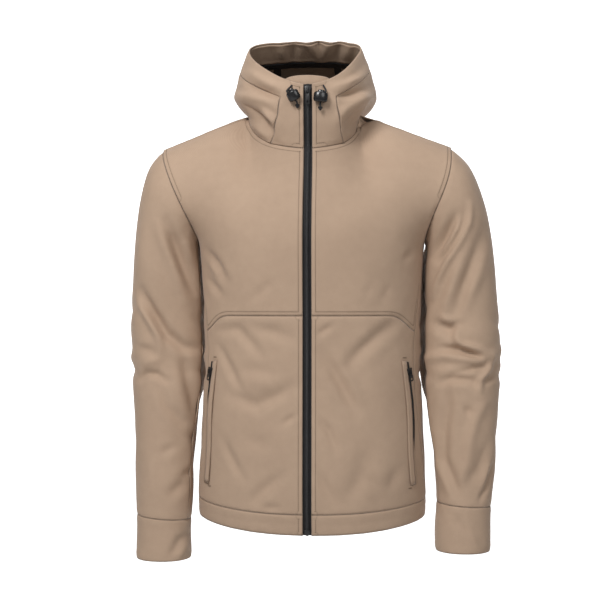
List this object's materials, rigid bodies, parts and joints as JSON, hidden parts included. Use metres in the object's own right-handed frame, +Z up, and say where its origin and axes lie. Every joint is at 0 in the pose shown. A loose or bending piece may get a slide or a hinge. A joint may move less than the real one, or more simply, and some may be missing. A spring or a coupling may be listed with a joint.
{
  "type": "hooded softshell jacket",
  "caption": "Worn-form hooded softshell jacket, full front zip, chest seam, two zipped side pockets, hem band and cuffs, hood cord with two cord locks.",
  "frame": {"origin": "middle of the neck opening, at the height where neck meets shoulder, where the wearer's neck passes", "axes": "+Z up, -Y out of the zipped front, +X towards the wearer's left arm (image right)"},
  "size_m": [0.6425, 0.294, 0.8878],
  "materials": {
    "shell": "matte woven softshell, taupe",
    "shell_lower": "matte woven softshell, taupe",
    "tape": "matte black tape",
    "coil": "black coil zip",
    "zip_metal": "black enamel",
    "lock_plastic": "glossy black",
    "cord": "black braided cord"
  },
  "bodies": {
    "jacket": {"hem_band": "shell_lower", "back": "shell_lower", "front_lower_left": "shell_lower", "front_lower_right": "shell_lower", "front_upper_left": "shell", "front_upper_right": "shell", "top_sleeve_left": "shell_lower", "top_sleeve_right": "shell_lower", "under_sleeve_left": "shell_lower", "under_sleeve_right": "shell_lower", "cuff_left": "shell_lower", "cuff_right": "shell_lower", "hood_side_left": "shell", "hood_side_right": "shell", "hood_centre": "shell", "hood_band": "shell", "hood_facing": "shell_lower", "hood_binding": "tape", "neck_facing": "shell", "hood_tape_left": "tape", "hood_tape_right": "tape", "zip_tape_left": "tape", "zip_tape_right": "tape", "zip_coil": "coil", "zip_slider": "zip_metal", "zip_box": "zip_metal", "pocket_welt_left": "shell_lower", "pocket_welt_right": "shell_lower", "pocket_zip_left": "coil", "pocket_zip_right": "coil", "pocket_slider_left": "zip_metal", "pocket_slider_right": "zip_metal", "cord_lock_left": "lock_plastic", "cord_lock_right": "lock_plastic", "cord_left": "cord", "cord_right": "cord", "cord_end_left": "cord", "cord_end_right": "cord"},
    "zip_pull": {"zip_pull": "zip_metal"},
    "pocket_pull_left": {"pocket_pull_left": "zip_metal"},
    "pocket_pull_right": {"pocket_pull_right": "zip_metal"},
    "cord_button_left": {"cord_button_left": "lock_plastic"},
    "cord_button_right": {"cord_button_right": "lock_plastic"}
  },
  "joints": [
    {"name": "zip_pull_hinge", "type": "hinge", "parent": "jacket", "child": "zip_pull", "pos_m": [0, -0.12158, 0.03789], "axis": [-1, 0, 0], "range_deg": [0, 150]},
    {"name": "pocket_pull_left_hinge", "type": "hinge", "parent": "jacket", "child": "pocket_pull_left", "pos_m": [-0.16827, -0.07663, -0.42149], "axis": [-0.589, 0.794, 0.1504], "range_deg": [0, 150]},
    {"name": "pocket_pull_right_hinge", "type": "hinge", "parent": "jacket", "child": "pocket_pull_right", "pos_m": [0.16823, -0.07744, -0.42146], "axis": [-0.5987, -0.7857, -0.156], "range_deg": [0, 150]},
    {"name": "cord_button_left_press", "type": "slide", "parent": "jacket", "child": "cord_button_left", "axis": [0.4284, 0.1576, -0.8897], "range_m": [0, 0.003], "stiffness_N_per_m": 200},
    {"name": "cord_button_right_press", "type": "slide", "parent": "jacket", "child": "cord_button_right", "axis": [-0.1045, -0.0088, -0.9945], "range_m": [0, 0.003], "stiffness_N_per_m": 200}
  ]
}
